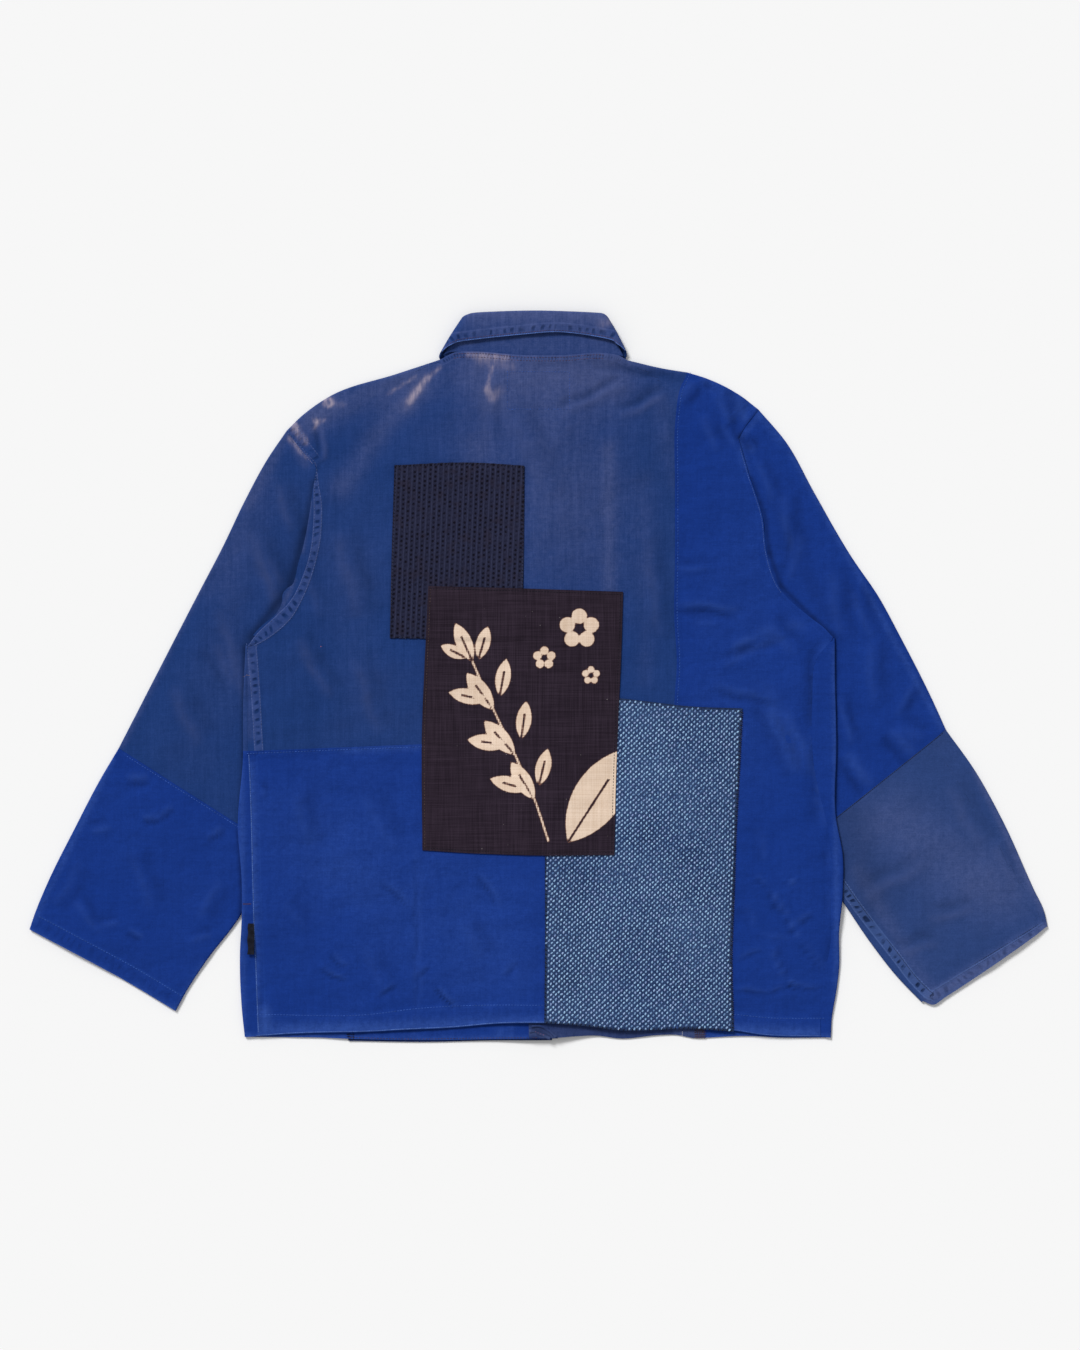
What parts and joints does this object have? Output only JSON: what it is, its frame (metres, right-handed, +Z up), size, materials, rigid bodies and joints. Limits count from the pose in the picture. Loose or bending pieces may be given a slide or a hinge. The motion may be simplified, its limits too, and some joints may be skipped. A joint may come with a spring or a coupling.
{
  "type": "patched boro work jacket laid flat",
  "caption": "Collared cotton work jacket laid flat face down, its panels pieced from mixed blues and mended on the back with three large patches.",
  "frame": {"origin": "middle of the jacket's footprint, on the surface it lies on", "axes": "+X towards the wearer's right sleeve, along the span of both sleeves; +Y towards the collar; +Z up, out of the back"},
  "size_m": [1.05, 0.7518, 0.0128],
  "materials": {
    "faded_indigo": "matt, faded indigo cotton",
    "royal_cotton": "matt, strong royal blue cotton",
    "sleeve_faded": "matt, grey-blue faded cotton",
    "sashiko_navy": "matt, dark navy textured weave",
    "print_linen": "matt, dark plain weave with a cream resist print",
    "indigo_dots": "matt, indigo with light blue raised grains",
    "hidden_navy": "matt, faded navy cotton",
    "label_dark": "dark woven tape",
    "button_plastic": "dark, slightly glossy"
  },
  "bodies": {
    "root": {"back_upper": "faded_indigo", "back_lower_left": "royal_cotton", "back_right": "royal_cotton", "patch_sashiko": "sashiko_navy", "patch_print": "print_linen", "patch_indigo": "indigo_dots", "front_left": "royal_cotton", "front_right_centre": "hidden_navy", "front_right_side": "royal_cotton", "front_patch": "hidden_navy", "sleeve_left_upper": "faded_indigo", "sleeve_left_lower": "royal_cotton", "sleeve_right_upper": "royal_cotton", "sleeve_right_lower": "sleeve_faded", "collar_stand": "faded_indigo", "collar_leaf": "faded_indigo", "side_loop": "label_dark", "button_1": "button_plastic", "button_2": "button_plastic", "button_3": "button_plastic", "button_4": "button_plastic", "button_5": "button_plastic"}
  },
  "joints": []
}
